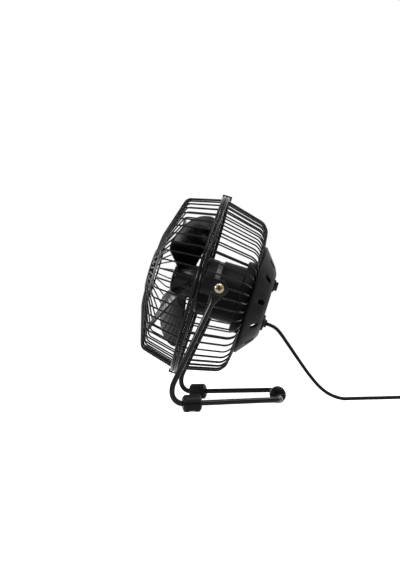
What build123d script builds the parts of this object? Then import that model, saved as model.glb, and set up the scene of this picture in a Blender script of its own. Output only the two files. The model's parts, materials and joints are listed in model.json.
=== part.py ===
from build123d import *
import math
import os

os.makedirs("parts", exist_ok=True)

# All sizes are millimetres and degrees. The fan unit is drawn with Z along its axis towards the rear,
# Y down its disc and zero where the two guards meet. The stand is drawn with +Z up and the pivot at Y 0.

# Stand
rod_dia = 4.5
pivot_height = 99.0
rest_tilt = 18.9  # how far the fan looks up from level
arm_lean = 27.5  # from upright
bend_height = 20.8  # where the leaning arm's line meets the upright below it
arm_bend_radius = 19.0
foot_bend_radius = 9.4
rear_bend_radius = 9.0
base_back = 47.0  # crossbar centre behind the pivot
rear_half_width = 66.0
eye_dia = 14.4
eye_thickness = 2.4
arm_clearance = 0.65  # between the guard rings and the arms

# Rubber feet
foot_dia = 14.2
foot_length = 15.0
foot_end_dia = 10.6
foot_chamfer = 1.6
foot_flat = 0.25  # how deep the resting flat is cut
foot_slit = 0.7
foot_arch = 0.8
front_foot_setback = 15.7  # behind the front bends

# Pivots
screw_dia = 4.0
screw_head_dia = 8.0
screw_head_height = 2.4
washer_dia = 10.0
running_gap = 0.05
side_gap = 0.1
bracket_thickness = 2.0
bracket_width = 14.0
nut_width = 7.0
nut_height = 3.0

# Wire guards
guard_dia = 160.0
ring_wire = 3.0
wire = 1.4
wire_count = 52
wire_phase = 0.75  # where the first wire stands, in wire spacings from the top
pivot_back = 18.4  # pivot axis behind the plane where the guards meet
front_depth = 42.8
front_shoulder_depth = 32.5
front_draw = 10.1  # how much smaller the front shoulder is than the ring, in radius
front_face_radius = 34.0
centre_ring_radius = 18.0
centre_rise = 0.2
rear_shoulder_depth = 37.5
rear_draw = 11.0
rear_corner_depth = 42.3
rear_corner_draw = 17.0
seat_radius = 47.0
seat_depth = 44.3
seat_ring_radius = 27.3
badge_dia = 41.0
badge_height = 2.0
clip_width = 7.0
clip_wall = 1.2

# Motor
cap_front = 0.5
cap_overhang = 0.3  # how far the cap stands out past the can, in radius
plastic_wall = 2.0
can_front = 10.8
can_length = 22.2
can_dia = 49.0
can_wall = 1.2
shaft_dia = 3.0
bearing_dia = 8.0
bearing_length = 4.2
bearing_boss = 1.4
magnet_thickness = 3.8
air_gap = 0.8
core_length = 11.0
slot_count = 5
commutator_dia = 9.0
housing_front = 15.1
housing_dia = 51.6
flange_dia = 63.8
flange_front = 35.0
lead_hole_dia = 14.0
lead_dia = 1.2

# Rear cover
cover_dia = 96.0
cover_lip = 1.6
cover_shoulder_dia = 68.0
cover_back_dia = 56.0
cover_shoulder_depth = 13.0
cover_depth = 16.0
vents_per_side = 5
vent_step = 33.0
vent_length = 9.2
vent_width = 4.0
vent_shift = 3.9  # from the middle of the slope towards the back
cover_screw_reach = 21.0
cover_screw_dia = 2.4
cover_screw_head_dia = 5.4
cover_screw_head_height = 1.8
cover_screw_length = 6.6
cover_screw_drive = (3.4, 0.7)

# Switch
switch_up = 17.5  # above the middle of the cover
switch_size = (15.0, 10.5)
switch_flange = 1.5
switch_depth = 9.0
rocker_length = 11.4
rocker_gap = 0.15
rocker_swing = 20.0
terminal_size = (0.8, 4.0, 5.0)
terminal_spread = 7.0

# Impeller
blade_count = 4
blade_reach = 60.0
blade_thickness = 1.6
blade_strips = 8
blade_turn = 32.0
blade_edges = (-36.0, 38.0)  # how far round the tip reaches, in degrees
blade_root_edge = 30.0
# each section's distance from the axis, half width, and how far its two edges lie before the hub's rear
blade_sections = ((9.0, 10.0, -24.5, -4.0), (62.0, 38.0, -33.5, -2.0))
hub_dia = 30.0
hub_length = 24.0
hub_gap = 1.5  # between the hub and the motor's front

# Cable
cable_dia = 3.0
gland_down = 16.0
gland_dia = 14.0
gland_length = 4.5
coil_outer_radius = 22.0
coil_half_turns = 6  # on the table, before it climbs
coil_pitch = 3.5
layer_rise = 3.5
coil_start = 186.0  # behind the pivot
last_turn_radius = 25.5  # a quarter turn round the pile, towards the plug
last_fall_length = 10.0
plug_height = 8.0

guard_radius = guard_dia / 2
bend_forward = (pivot_height - bend_height) * math.tan(math.radians(arm_lean))
rod_x = guard_radius + arm_clearance + rod_dia / 2
rod_z = foot_dia / 2 - foot_flat
cap_dia = can_dia + 2 * cap_overhang
can_rear = can_front + can_length
seat_rear = seat_depth + wire / 2
flange_rear = seat_depth - wire / 2
cover_back = seat_rear + cover_depth
boss_floor = seat_rear + 1.2

# Places of the head, the stand being already in place
head = Pos(0, 0, pivot_height) * Rot(X=-90 - rest_tilt) * Pos(0, 0, -pivot_back)
bodies = {}


def turned(shape, angle):
    return Rot(Z=angle) * shape


def disc(radius, start, end):
    return Pos(0, 0, (start + end) / 2) * Cylinder(radius, end - start)


def tube(outer, inner, start, end):
    return disc(outer, start, end) - disc(inner, start, end)


def spun(*points):
    return revolve(make_face(Plane.XZ * Polyline(*points, close=True)), Axis.Z)


def along_x(radius, start, end):
    return Pos((start + end) / 2, 0, 0) * Rot(Y=90) * Cylinder(radius, end - start)


def one(shape):
    # the single solid that a fuse or a cut leaves
    return shape.solids().sort_by(SortBy.VOLUME)[-1]


# Guards: bent wires fused to their rings


def bent_wire(points):
    # a square wire along points given as radius and depth, mitred at each bend
    spots = [Vector(*p) for p in points]
    ways = [(b - a).normalized() for a, b in zip(spots, spots[1:])]
    inner, outer = [], []
    for i, spot in enumerate(spots):
        first, second = ways[max(i - 1, 0)], ways[min(i, len(ways) - 1)]
        normal = Vector(-first.Y, first.X)
        mitre = (normal + Vector(-second.Y, second.X)).normalized()
        step = mitre * (wire / 2 / mitre.dot(normal))
        outer.append(spot + step)
        inner.append(spot - step)
    face = make_face(Plane.XZ * Polyline(*[(p.X, p.Y) for p in outer + inner[::-1]], close=True))
    return extrude(face, wire / 2, both=True).solid()


def facet_ring(radius, depth, section):
    # a ring of straight facets, one for each wire, so that every wire meets the middle of a facet
    face = Plane(origin=(radius, 0, depth), z_dir=(0, 1, 0), x_dir=(1, 0, 0)) * section
    piece = extrude(face, radius * 0.1, both=True)
    half = math.radians(180 / wire_count)
    for side, kept in ((-1, Keep.BOTTOM), (1, Keep.TOP)):
        cut = Plane(origin=(0, 0, 0), z_dir=(side * math.sin(half), math.cos(half), 0))
        piece = split(piece, cut, keep=kept)
    pieces = [turned(piece.solid(), 360 / wire_count * i) for i in range(wire_count)]
    return pieces[0].fuse(*pieces[1:])


def guard(wire_points, rings):
    body = bent_wire(wire_points)
    wires = [turned(body, 360 / wire_count * i) for i in range(wire_count)]
    fused = rings[0].fuse(*rings[1:], *wires)
    # the top of the disc is at -Y, and the wires are counted from there towards +X
    return turned(one(fused), -90 + wire_phase * 360 / wire_count)


def outer_ring(side):
    section = RegularPolygon(ring_wire / 2, 8, major_radius=False, rotation=22.5)
    return facet_ring(guard_radius - ring_wire / 2, side * ring_wire / 2, section)


ring_inside = guard_radius - ring_wire
wire_start = ring_inside - wire / 2 + 0.4
face_depth = front_depth + centre_rise


def front_guard():
    points = [
        (wire_start, -wire / 2),
        (guard_radius - ring_wire / 2 - front_draw, -front_shoulder_depth),
        (front_face_radius, -front_depth),
        (centre_ring_radius, -face_depth + 0.1),
    ]
    middle_ring = facet_ring(front_face_radius - 3.0, -front_depth + wire, Rectangle(1.6, wire))
    centre_ring = facet_ring(centre_ring_radius - 0.3, -face_depth, Rectangle(2.4, wire * 1.2))
    return guard(points, [outer_ring(-1), middle_ring, centre_ring])


def rear_guard():
    points = [
        (wire_start, wire / 2),
        (guard_radius - ring_wire / 2 - rear_draw, rear_shoulder_depth),
        (guard_radius - ring_wire / 2 - rear_corner_draw, rear_corner_depth),
        (seat_radius, seat_depth),
        (seat_ring_radius, seat_depth),
    ]
    seat_ring = facet_ring(seat_ring_radius, seat_depth, Rectangle(wire, wire))
    return guard(points, [outer_ring(1), seat_ring])


def badge():
    back = -face_depth - wire * 0.6
    front = back - badge_height
    radius = badge_dia / 2
    spigot = (centre_ring_radius - 1.5) * math.cos(math.radians(180 / wire_count))
    return spun(
        (0, front),
        (radius - 3.0, front),
        (radius, back - 1.0),
        (radius, back),
        (spigot, back),
        (spigot, back + wire),
        (0, back + wire),
    )


def guard_clip(turn):
    # a U of sheet steel pressed over both rings, centred on one facet
    outside = guard_radius + clip_wall
    deep = ring_wire + clip_wall
    inside = ring_inside + 0.5
    block = Pos((outside + inside) / 2, 0, 0) * Box(outside - inside, clip_width, 2 * deep)
    block -= Pos((guard_radius + inside) / 2, 0, 0) * Box(guard_radius - inside, clip_width, 2 * ring_wire)
    return turned(block, turn - 90 + (wire_phase - 1) * 360 / wire_count)


bodies["guard_front"] = head * front_guard()
bodies["guard_rear"] = head * rear_guard()
bodies["guard_badge"] = head * badge()
bodies["guard_clip_top"] = head * guard_clip(0)
bodies["guard_clip_bottom"] = head * guard_clip(180)

# Stand: one bent rod with flattened eyes, its round section drawn with twelve sides


def stand_rod():
    lean = math.radians(arm_lean)
    arm = Vector(0, -math.sin(lean), -math.cos(lean))
    pivot = Vector(rod_x, 0, pivot_height)
    round_start = pivot + arm * eye_dia
    arm_foot = Vector(rod_x, -bend_forward, bend_height)
    right = [
        round_start,
        arm_foot,
        Vector(rod_x, -bend_forward, rod_z),
        Vector(rear_half_width, base_back, rod_z),
    ]
    left = [Vector(-p.X, p.Y, p.Z) for p in right[::-1]]
    radii = [arm_bend_radius, foot_bend_radius, rear_bend_radius]
    path = FilletPolyline(*right, *left, radius=radii + radii[::-1])
    start = Plane(origin=round_start, z_dir=arm, x_dir=(1, 0, 0))
    rod = sweep(start * RegularPolygon(rod_dia / 2, 12), path=path).solid()
    flat_start = pivot + arm * (washer_dia / 2 + 0.3)
    flat_width = math.sqrt(eye_dia**2 - (washer_dia + 0.6) ** 2)
    flat = Rectangle(eye_thickness, flat_width)
    flat = chamfer(flat.vertices(), eye_thickness * 0.3)
    flat = Plane(origin=flat_start, z_dir=arm, x_dir=(1, 0, 0)) * flat
    end = start * RegularPolygon(rod_dia / 2, 8, rotation=22.5)
    neck = loft([flat.face(), end.face()], ruled=True)
    half = eye_thickness / 2
    eye = Pos(0, 0, pivot_height) * along_x(eye_dia / 2, rod_x - half, rod_x + half)
    hole = Pos(0, 0, pivot_height) * along_x(screw_dia / 2 + running_gap, rod_x - 9, rod_x + 9)
    mirrored = [mirror(shape, Plane.YZ) for shape in (neck, eye)]
    whole = rod.fuse(neck.solid(), eye.solid(), *[m.solid() for m in mirrored])
    return one(whole - hole - mirror(hole, Plane.YZ))


def foot():
    # a barrel along X with its resting flat at the bottom, slit on the +Y side to snap over the rod
    half, radius, bore = foot_length / 2, foot_dia / 2, rod_dia / 2
    outline = Polyline(
        (bore, -half),
        (foot_end_dia / 2, -half),
        (radius, -half + foot_chamfer),
        (radius, half - foot_chamfer),
        (foot_end_dia / 2, half),
        (bore, half),
        close=True,
    )
    barrel = Rot(Y=90) * revolve(make_face(Plane.XZ * outline), Axis.Z)
    barrel -= Pos(0, 0, -rod_z - foot_dia) * Box(2 * foot_length, 2 * foot_dia, 2 * foot_dia)
    barrel -= Pos(0, 0, -rod_z) * Box(foot_length * 0.36, foot_dia, 2 * foot_arch)
    return one(barrel - Pos(0, radius, 0) * Box(foot_length, 2 * radius, foot_slit))


base_way = Vector(rear_half_width - rod_x, base_back + bend_forward, 0)
base_turn = math.degrees(math.atan2(base_way.Y, base_way.X))
foot_step = front_foot_setback / base_way.Y
foot_x = rod_x + base_way.X * foot_step
front_foot = Pos(foot_x, front_foot_setback - bend_forward, rod_z) * Rot(Z=base_turn - 180) * foot()
bodies["stand_rod"] = stand_rod()
bodies["foot_front_right"] = front_foot
bodies["foot_front_left"] = mirror(front_foot, Plane.YZ)
bodies["foot_rear"] = Pos(0, base_back, rod_z) * foot()

# Pivots: bracket, nut and screw turn with the head, the washer stays on the eye

bracket_outer = guard_radius - 0.6
bracket_inner = bracket_outer - bracket_thickness
eye_inner = rod_x - eye_thickness / 2
eye_outer = rod_x + eye_thickness / 2
nut_inner = bracket_inner - nut_height


def bracket():
    reach = pivot_back - ring_wire
    plate = Pos(0, 0, ring_wire + reach / 2) * Box(bracket_thickness, bracket_width, reach)
    plate += Pos(0, 0, pivot_back) * Rot(Y=90) * Cylinder(bracket_width / 2, bracket_thickness)
    plate = Pos((bracket_inner + bracket_outer) / 2, 0, 0) * plate
    return one(plate - Pos(0, 0, pivot_back) * along_x(screw_dia / 2, nut_inner, guard_dia))


def pivot_nut():
    nut = extrude(RegularPolygon(nut_width / 2, 6, major_radius=False), nut_height)
    nut = Pos(nut_inner, 0, 0) * Rot(Y=90) * nut
    return Pos(0, 0, pivot_back) * (nut - along_x(screw_dia / 2, nut_inner - 1, bracket_inner + 1))


def pivot_screw():
    seat = eye_outer + side_gap
    shank = along_x(screw_dia / 2, nut_inner - 0.6, seat)
    outline = [
        (0, 0),
        (screw_head_dia / 2, 0),
        (screw_head_dia / 2, screw_head_height * 0.6),
        (screw_head_dia * 0.3, screw_head_height),
        (0, screw_head_height),
    ]
    top = Pos(seat, 0, 0) * Rot(Y=90) * spun(*outline)
    cross = Box(1.0, 4.4, 0.9) + Box(1.0, 0.9, 4.4)
    cross = Pos(seat + screw_head_height, 0, 0) * cross
    return Pos(0, 0, pivot_back) * one(shank + top - cross)


def friction_washer():
    ring = along_x(washer_dia / 2, bracket_outer + side_gap, eye_inner)
    return Pos(0, 0, pivot_height) * (ring - along_x(screw_dia / 2 + running_gap, 0, guard_dia))


def both_sides(piece):
    return Compound([piece.solid(), mirror(piece, Plane.YZ).solid()])


bodies["pivot_bracket_right"] = head * bracket()
bodies["pivot_bracket_left"] = mirror(head * bracket(), Plane.YZ)
bodies["pivot_nuts"] = both_sides(head * pivot_nut())
bodies["pivot_screws"] = both_sides(head * pivot_screw())
bodies["pivot_washers"] = both_sides(friction_washer())

# Motor

can_inside = can_dia / 2 - can_wall
bearing_front = can_front + can_wall - bearing_length
core_front = can_front + can_wall + 3.0
core_rear = core_front + core_length
core_radius = can_inside - magnet_thickness - air_gap
plate_front = can_rear - plastic_wall
commutator_front = core_rear + 2.2
commutator_rear = plate_front + 3.0
rear_bearing_front = commutator_rear + 0.4
rear_bearing_rear = rear_bearing_front + bearing_length
cavity_radius = cover_screw_reach - 2.5
slot_reach = (6.2, core_radius - 2.6)
slot_share = 0.7


def motor_front_cap():
    radius = cap_dia / 2
    return spun(
        (shaft_dia, cap_front),
        (radius - 1.5, cap_front),
        (radius, cap_front + 1.5),
        (radius, can_front),
        (radius - plastic_wall, can_front),
        (radius - plastic_wall, cap_front + plastic_wall),
        (shaft_dia, cap_front + plastic_wall),
    )


def motor_can():
    radius, bearing = can_dia / 2, bearing_dia / 2
    return spun(
        (bearing, bearing_front),
        (bearing + can_wall, bearing_front),
        (bearing + can_wall, can_front),
        (radius, can_front),
        (radius, can_rear),
        (can_inside, can_rear),
        (can_inside, can_front + can_wall),
        (bearing, can_front + can_wall),
    )


def bearing(front):
    return tube(bearing_dia / 2, shaft_dia / 2 + running_gap, front, front + bearing_length)


def magnets():
    ring = tube(can_inside, can_inside - magnet_thickness, core_front - 2, core_rear + 2)
    ring -= Pos(0, 0, can_front + can_length / 2) * Box(can_dia, can_dia * 0.22, can_length * 2)
    return Compound(ring.solids())


def sector(inner, outer, share):
    # a wedge of a ring between two radii, as wide as a share of one slot spacing
    half = math.radians(180 / slot_count * share)
    points = [
        (inner * math.cos(half), inner * math.sin(half)),
        (outer * math.cos(half), outer * math.sin(half)),
        (outer, 0),
        (outer * math.cos(half), -outer * math.sin(half)),
        (inner * math.cos(half), -inner * math.sin(half)),
    ]
    return make_face(Polyline(*points, close=True))


def armature_core():
    outline = Circle(core_radius)
    for i in range(slot_count):
        mouth = Pos((slot_reach[1] + core_radius) / 2, 0) * Rectangle(core_radius - slot_reach[1] + 3, 2.4)
        outline -= Rot(Z=360 / slot_count * i) * (sector(*slot_reach, slot_share) + mouth)
    outline -= Circle(shaft_dia / 2)
    return one(Pos(0, 0, core_front) * extrude(outline, core_length))


def armature_windings():
    inner, outer = slot_reach
    coil = extrude(sector(inner, outer - 0.6, slot_share), core_length + 3.0)
    coil = Pos(0, 0, core_front - 1.5) * coil
    return Compound([turned(coil, 360 / slot_count * i).solid() for i in range(slot_count)])


def brush_plate():
    hole, bearing = commutator_dia / 2 + 0.5, bearing_dia / 2
    boss = bearing + bearing_boss
    return spun(
        (hole, plate_front),
        (can_inside, plate_front),
        (can_inside, can_rear),
        (boss, can_rear),
        (boss, rear_bearing_rear),
        (bearing, rear_bearing_rear),
        (bearing, rear_bearing_front),
        (hole, rear_bearing_front),
    )


def brushes():
    reach = commutator_dia / 2 + 0.06
    block = Pos(reach + 2.0, 0, plate_front - 0.65) * Box(5.0, 2.4, 1.3)
    block -= disc(reach, plate_front - 3, plate_front + 3)
    return Compound([turned(one(block), side).solid() for side in (0, 180)])


def motor_housing():
    flange, outer = flange_dia / 2, housing_dia / 2
    body = spun(
        (can_dia / 2, housing_front),
        (outer, housing_front),
        (outer, flange_front),
        (flange - 1.0, flange_front),
        (flange, flange_front + 1.0),
        (flange, flange_rear),
        (lead_hole_dia / 2, flange_rear),
        (lead_hole_dia / 2, flange_rear - 2.5),
        (cavity_radius, flange_rear - 2.5),
        (cavity_radius, can_rear),
        (can_dia / 2, can_rear),
    )
    for side in (-1, 1):
        pilot = disc(cover_screw_dia / 2, boss_floor - cover_screw_length - 1.0, flange_rear + 1)
        body -= Pos(side * cover_screw_reach, 0, 0) * pilot
    return one(body)


head_pieces = {
    "motor_front_cap": motor_front_cap(),
    "motor_can": motor_can(),
    "motor_bearing_front": bearing(bearing_front),
    "motor_bearing_rear": bearing(rear_bearing_front),
    "motor_magnets": magnets(),
    "armature_core": armature_core(),
    "armature_windings": armature_windings(),
    "commutator": tube(commutator_dia / 2, shaft_dia / 2, commutator_front, commutator_rear),
    "brush_plate": brush_plate(),
    "motor_brushes": brushes(),
    "motor_housing": motor_housing(),
}

# Impeller and shaft

hub_rear = cap_front - hub_gap
hub_front = hub_rear - hub_length


def blade():
    # a cambered slab that twists from the hub to the tip, cut to a rounded petal
    sections = []
    for reach, half_width, lead, trail in blade_sections:
        plane = Plane(origin=(reach, 0, 0), x_dir=(0, 1, 0), z_dir=(1, 0, 0))
        front, rear = [], []
        for i in range(blade_strips + 1):
            across = 2 * i / blade_strips - 1
            depth = (lead + trail) / 2 + across * (lead - trail) / 2 - (1 - across**2) * half_width * 0.09
            front.append((across * half_width, hub_rear + depth))
            rear.append((across * half_width, hub_rear + depth + blade_thickness))
        sections.append(plane * make_face(Polyline(*front, *rear[::-1], close=True)))
    slab = loft([s.face() for s in sections], ruled=True)
    start, reach = blade_sections[0][1], blade_reach * 0.99
    corners = [
        (start, -blade_root_edge),
        (reach, blade_edges[0]),
        (reach, blade_edges[1]),
        (start, blade_root_edge),
    ]
    spots = [(r * math.cos(math.radians(a)), r * math.sin(math.radians(a))) for r, a in corners]
    tip = ThreePointArc(spots[1], (blade_reach, 0), spots[2])
    petal = make_face([Line(spots[0], spots[1]), tip, Line(spots[2], spots[3]), Line(spots[3], spots[0])])
    outer = [v for v in petal.vertices() if v.X > hub_dia]
    petal = fillet(outer, blade_reach * 0.2)
    return one(slab & (Pos(0, 0, -2 * front_depth) * extrude(petal, 4 * front_depth)))


def impeller():
    radius, bore = hub_dia / 2, shaft_dia / 2
    hub = spun(
        (bore, hub_front + plastic_wall),
        (0, hub_front + plastic_wall),
        (0, hub_front - 1.2),
        (radius * 0.6, hub_front - 0.4),
        (radius, hub_front + 2.4),
        (radius, hub_rear),
        (radius - plastic_wall, hub_rear),
        (radius - plastic_wall, hub_front + plastic_wall + 0.6),
        (bore + 2.2, hub_front + plastic_wall + 0.6),
        (bore + 2.2, hub_rear),
        (bore, hub_rear),
    )
    shape = blade()
    shape = one(shape - disc(radius - plastic_wall / 2, -guard_radius, guard_radius))
    return one(hub.fuse(*[turned(shape, 360 / blade_count * i + blade_turn) for i in range(blade_count)]))


head_pieces["impeller"] = impeller()
head_pieces["motor_shaft"] = disc(shaft_dia / 2, hub_front + plastic_wall, rear_bearing_rear - 0.4)

# Rear cover, switch and cable gland


def cover_outline(step):
    # the cover's outer line, or its inner one when step is the wall
    lip = cover_dia / 2 - step
    shoulder = cover_shoulder_dia / 2 - step * 0.6
    back = cover_back_dia / 2 - step * 0.4
    return [
        (lip, seat_rear),
        (lip, seat_rear + cover_lip),
        (shoulder, seat_rear + cover_shoulder_depth - step * 0.8),
        (back, cover_back - step),
        (0, cover_back - step),
    ]


def vent():
    lip = Vector(cover_dia / 2, seat_rear + cover_lip)
    shoulder = Vector(cover_shoulder_dia / 2, seat_rear + cover_shoulder_depth)
    way = (shoulder - lip).normalized()
    middle = (lip + shoulder) * 0.5 + way * vent_shift
    plane = Plane(origin=(middle.X, 0, middle.Y), x_dir=(way.X, 0, way.Y), z_dir=(-way.Y, 0, way.X))
    slot = Rectangle(vent_length, vent_width)
    slot = plane * chamfer(slot.vertices(), vent_width * 0.3)
    return extrude(slot, 3 * plastic_wall, both=True)


def rear_cover():
    shell = spun(*cover_outline(0), *cover_outline(plastic_wall)[::-1])
    slot = vent()
    for side in (0, 180):
        for i in range(vents_per_side):
            shell -= turned(slot, side + vent_step * (i - (vents_per_side - 1) / 2))
    head_well = cover_screw_head_dia / 2 + 0.3
    for side in (-1, 1):
        boss = disc(head_well + 1.2, flange_rear, cover_back - plastic_wall / 2)
        shell += Pos(side * cover_screw_reach, 0, 0) * boss
        bore = disc(head_well, boss_floor, cover_back + 1)
        bore += disc(cover_screw_dia / 2 + 0.2, flange_rear - 1, boss_floor + 1)
        shell -= Pos(side * cover_screw_reach, 0, 0) * bore
    wide, tall = switch_size
    window = Pos(0, -switch_up, cover_back) * Box(wide - 1.2, tall - 1.2, 4 * plastic_wall)
    gland_hole = disc(gland_dia / 2 - 2.5, cover_back - 2 * plastic_wall, cover_back + 1)
    return one(shell - window - Pos(0, gland_down, 0) * gland_hole)


def cover_screws():
    screws = []
    for side in (-1, 1):
        top = boss_floor + cover_screw_head_height
        screw = disc(cover_screw_head_dia / 2, boss_floor, top)
        screw += disc(cover_screw_dia / 2, boss_floor - cover_screw_length, boss_floor)
        long, narrow = cover_screw_drive
        cross = Box(long, narrow, 2 * narrow) + Box(narrow, long, 2 * narrow)
        screw -= Pos(0, 0, top) * cross
        screws.append((Pos(side * cover_screw_reach, 0, 0) * screw).solid())
    return Compound(screws)


def cable_gland():
    radius, neck = gland_dia / 2, gland_dia / 2 - 2.5
    back = cover_back
    gland = spun(
        (0, back - plastic_wall - 1.8),
        (neck + 1.2, back - plastic_wall - 1.8),
        (neck + 1.2, back - plastic_wall),
        (neck, back - plastic_wall),
        (neck, back),
        (radius, back),
        (radius, back + 1.8),
        (cable_dia * 1.25, back + 2.4),
        (cable_dia, back + gland_length),
        (0, back + gland_length),
    )
    return Pos(0, gland_down, 0) * gland


rocker_pivot = cover_back + switch_flange - 1.2
pocket = (rocker_length + 1.6, 7.7 + 2 * rocker_gap)
trunnion = 0.9


def switch_housing():
    wide, tall = switch_size
    body = Pos(0, 0, cover_back + switch_flange / 2) * Box(wide, tall, switch_flange)
    body += Pos(0, 0, cover_back - switch_depth / 2) * Box(wide - 1.2, tall - 1.2, switch_depth)
    deep = switch_depth - 1.5
    body -= Pos(0, 0, cover_back + 5 - deep / 2) * Box(*pocket, deep + 10)
    holes = Pos(0, 0, rocker_pivot) * Rot(X=90) * Cylinder(trunnion + running_gap, pocket[1] + 1.2)
    return Pos(0, -switch_up, 0) * one(body - holes)


def switch_rocker():
    # a shallow V that rocks about trunnions across its middle, drawn with its +X end up
    half = rocker_length / 2
    ends, foot_half = (2.8, -0.8), half * 0.5
    outline = Polyline(
        (0, 1.4),
        (half, ends[0]),
        (half, ends[1]),
        (foot_half, -3.2),
        (-foot_half, -3.2),
        (-half, ends[1]),
        (-half, ends[0]),
        close=True,
    )
    width = pocket[1] - 2 * rocker_gap
    body = extrude(make_face(Plane.XZ * outline), width / 2, both=True)
    body += Rot(X=90) * Cylinder(trunnion, pocket[1] + 0.9)
    return Pos(0, -switch_up, rocker_pivot) * Rot(Y=-rocker_swing / 2) * one(body)


def switch_terminals():
    tab = Pos(0, 0, cover_back - switch_depth - terminal_size[2] / 2) * Box(*terminal_size)
    half = terminal_spread / 2
    return Pos(0, -switch_up, 0) * Compound([(Pos(x, 0, 0) * tab).solid() for x in (-half, half)])


def wire_leads():
    # one lead from the cable to the switch, one from the cable and one from the switch to the motor,
    # where they run straight between the bearing's boss and the wall of the lead hole
    inlet = cover_back - plastic_wall - 1.8
    tabs = cover_back - switch_depth - terminal_size[2]
    reach = (bearing_dia / 2 + bearing_boss + lead_hole_dia / 2) / 2
    up, tab, side, bend = -switch_up, terminal_spread / 2, reach / 2, 2 * lead_dia
    beside = math.sqrt(reach**2 - side**2)
    entry, motor = flange_rear + lead_dia, can_rear + lead_dia / 4
    to_motor = [[(side, y, entry), (side, y, motor)] for y in (beside, -beside)]
    left, right = -1.3 * lead_dia, 1.3 * lead_dia
    to_switch = [(-tab, up, tabs - bend), (-tab, up, tabs)]
    routes = [
        [(left, gland_down, inlet), (left, gland_down, inlet - bend), *to_switch],
        [(right, gland_down, inlet), (right, gland_down, inlet - 2 * bend), *to_motor[0]],
        [(tab, up, tabs), (tab, up, tabs - bend), *to_motor[1]],
    ]
    leads = []
    for route in routes:
        spots = [Vector(*p) for p in route]
        start = Plane(origin=spots[0], z_dir=spots[1] - spots[0])
        path = Polyline(*spots)
        section = start * RegularPolygon(lead_dia / 2, 6)
        leads.append(sweep(section, path=path, transition=Transition.RIGHT).solid())
    return Compound(leads)


head_pieces["rear_cover"] = rear_cover()
head_pieces["cover_screws"] = cover_screws()
head_pieces["cable_gland"] = cable_gland()
head_pieces["switch_housing"] = switch_housing()
head_pieces["switch_rocker"] = switch_rocker()
head_pieces["switch_terminals"] = switch_terminals()
head_pieces["wire_leads"] = wire_leads()
for name, piece in head_pieces.items():
    bodies[name] = head * piece

# Cable: the drop from the gland, the run along the table, the coil and the plug

exit_spot = (head * Pos(0, gland_down, cover_back + gland_length)).position
on_table = cable_dia / 2
drop = [
    exit_spot,
    Vector(0, 47.0, 66.0),
    Vector(0.1, 53.6, 60.6),
    Vector(0.3, 60.2, 51.4),
    Vector(0.2, 68.6, 38.2),
    Vector(-0.2, 78.6, 21.9),
    Vector(-0.3, 88.6, 8.5),
    Vector(0, 101.0, on_table),
    Vector(0, 112.0, on_table),
]
run = [
    Vector(0, 112.0, on_table),
    Vector(0, 123.0, on_table),
    Vector(1.6, 137.0, on_table),
    Vector(1.2, 152.0, on_table),
    Vector(0, 168.0, on_table),
    Vector(0, coil_start, on_table),
]


def hexagon(spot, way):
    return Plane(origin=spot, z_dir=way, x_dir=way.cross(Vector(0, 0, 1))) * RegularPolygon(cable_dia / 2, 6)


def corner_radii(points):
    radii = []
    for before, spot, after in zip(points, points[1:], points[2:]):
        shorter = min((spot - before).length, (after - spot).length)
        half_turn = math.radians((spot - before).get_angle(after - spot)) / 2
        radii.append(0.45 * shorter / math.tan(half_turn))
    return radii


def report_tube(name, piece, path):
    section = 1.5 * math.sqrt(3) * (cable_dia / 2) ** 2
    share = piece.volume / (section * path.length)
    print(name, "length", round(path.length, 1), "volume over section times length", round(share, 4))


def cable(name, points):
    radii = corner_radii(points)
    print(name, "radii", [round(r, 1) for r in radii])
    path = FilletPolyline(*points, radius=radii)
    piece = sweep(hexagon(points[0], points[1] - points[0]), path=path).solid()
    report_tube(name, piece, path)
    return piece


def half_turn(start, way, radius, rise):
    # a semicircle to the left of way, in a plane tilted so that it ends higher by rise
    left = Vector(0, 0, 1).cross(way)
    climb = rise / (2 * radius)
    inward = left * math.sqrt(1 - climb**2) + Vector(0, 0, climb)
    return ThreePointArc(start, start + (way + inward) * radius, start + inward * (2 * radius))


def coil_path():
    # spirals in along the table, climbs a layer in its smallest half turn, spirals out again, goes
    # a quarter turn further round the pile and sinks to the height of the plug
    inner = coil_outer_radius - (coil_half_turns - 1) * coil_pitch / 2
    inward = [(coil_outer_radius - i * coil_pitch / 2, 0) for i in range(coil_half_turns)]
    outward = [(inner + i * coil_pitch / 2, 0) for i in range(coil_half_turns + 1)]
    spot, way, pieces = Vector(0, coil_start, on_table), Vector(0, 1, 0), []
    pieces.append(Line(spot - way * cable_dia, spot))
    for radius, rise in inward + [(inner - coil_pitch / 2, layer_rise)] + outward:
        pieces.append(half_turn(spot, way, radius, rise))
        spot, way = pieces[-1] @ 1, way * -1
    left = Vector(0, 0, 1).cross(way)
    pieces.append(TangentArc(spot, spot + (way + left) * last_turn_radius, tangent=way))
    spot, way = pieces[-1] @ 1, left
    fall = way * (last_fall_length / 2) - Vector(0, 0, (spot.Z - plug_height / 2) / 2)
    pieces.append(TangentArc(spot, spot + fall, tangent=way))
    pieces.append(TangentArc(spot + fall, spot + fall * 2, tangent=pieces[-1] % 1))
    spot += fall * 2
    end = spot + way * cable_dia
    return Wire([*pieces, Line(spot, end)]), end


def least_gap(path):
    # the least distance between the tube's surfaces, on points more than a third of a turn apart
    count = int(path.length / 1.5)
    spots = [path @ (i / count) for i in range(count + 1)]
    apart = int(2 * coil_outer_radius / (path.length / count))
    pairs = ((a, b) for i, a in enumerate(spots) for b in spots[i + apart :])
    return min((a - b).length for a, b in pairs) - cable_dia


run[-1] = run[-1] - Vector(0, cable_dia, 0)
bodies["cord_drop"] = cable("cord_drop", drop)
bodies["cord_run"] = cable("cord_run", run)
coil, coil_end = coil_path()
bodies["cord_coil"] = sweep(hexagon(run[-1], Vector(0, 1, 0)), path=coil).solid()
report_tube("cord_coil", bodies["cord_coil"], coil)
print("cord_coil least gap", round(least_gap(coil), 2))

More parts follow.
